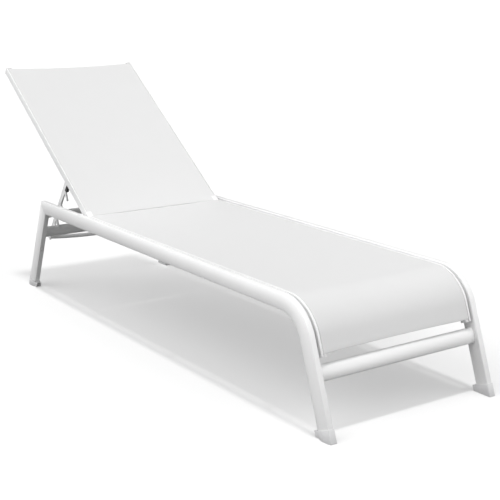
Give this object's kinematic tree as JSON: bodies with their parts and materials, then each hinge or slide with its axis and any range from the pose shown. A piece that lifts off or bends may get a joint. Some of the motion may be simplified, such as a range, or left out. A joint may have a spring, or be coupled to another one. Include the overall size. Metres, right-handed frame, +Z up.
{
  "type": "reclining sling sun lounger",
  "caption": "Reclining sun lounger with a white aluminium frame, a stretched sling seat and back, and a notched prop that holds the backrest up.",
  "frame": {"origin": "on the floor, under the middle of the whole lounger with its backrest raised", "axes": "+X across to the right side, +Y from the foot end to the head end, +Z up"},
  "size_m": [0.613, 2.0684, 0.8193],
  "materials": {
    "powder_coat": "white satin powder coat on aluminium",
    "sling_cloth": "white open-weave vinyl-coated polyester",
    "white_nylon": "moulded white nylon",
    "grey_nylon": "moulded pale grey nylon",
    "black_nylon": "moulded black nylon",
    "steel": "plain stainless steel",
    "vinyl": "extruded vinyl cord"
  },
  "bodies": {
    "frame": {"left_side_frame": "powder_coat", "left_rear_leg": "powder_coat", "left_front_foot": "grey_nylon", "left_rear_foot": "grey_nylon", "left_leg_plug": "white_nylon", "left_seat_rail": "powder_coat", "left_seat_spline": "vinyl", "left_front_spacer": "white_nylon", "left_front_bolt": "steel", "left_middle_spacer": "white_nylon", "left_middle_bolt": "steel", "left_rear_spacer": "white_nylon", "left_rear_bolt": "steel", "left_hinge_plate": "powder_coat", "left_hinge_bolt": "steel", "right_side_frame": "powder_coat", "right_rear_leg": "powder_coat", "right_front_foot": "grey_nylon", "right_rear_foot": "grey_nylon", "right_leg_plug": "white_nylon", "right_seat_rail": "powder_coat", "right_seat_spline": "vinyl", "right_front_spacer": "white_nylon", "right_front_bolt": "steel", "right_middle_spacer": "white_nylon", "right_middle_bolt": "steel", "right_rear_spacer": "white_nylon", "right_rear_bolt": "steel", "right_hinge_plate": "powder_coat", "right_hinge_bolt": "steel", "front_stretcher": "powder_coat", "rear_stretcher": "powder_coat", "head_crossbar": "powder_coat", "seat_front_spreader": "powder_coat", "seat_rear_spreader": "powder_coat", "seat_sling": "sling_cloth"},
    "backrest": {"left_back_rail": "powder_coat", "left_back_spline": "vinyl", "left_hinge_knuckle": "powder_coat", "left_hinge_bush": "white_nylon", "left_rail_cap": "white_nylon", "left_prop_pin": "steel", "left_prop_bush": "white_nylon", "right_back_rail": "powder_coat", "right_back_spline": "vinyl", "right_hinge_knuckle": "powder_coat", "right_hinge_bush": "white_nylon", "right_rail_cap": "white_nylon", "right_prop_pin": "steel", "right_prop_bush": "white_nylon", "back_sling": "sling_cloth", "back_lower_spreader": "powder_coat", "back_upper_spreader": "powder_coat"},
    "prop": {"left_prop_arm": "powder_coat", "left_prop_bumper": "black_nylon", "right_prop_arm": "powder_coat", "right_prop_bumper": "black_nylon", "release_bar": "powder_coat"}
  },
  "joints": [
    {"name": "backrest_recline", "type": "hinge", "parent": "frame", "child": "backrest", "pos_m": [0, 0.36454, 0.3365], "axis": [1, 0, 0], "range_deg": [-35.5, 0]},
    {"name": "prop_swing", "type": "hinge", "parent": "backrest", "child": "prop", "pos_m": [0, 0.56795, 0.47668], "axis": [1, 0, 0], "range_deg": [0, 88.5]}
  ],
  "couplings": [
    {"joint": "prop_swing", "follows": "backrest_recline", "ratio": -2.49}
  ]
}
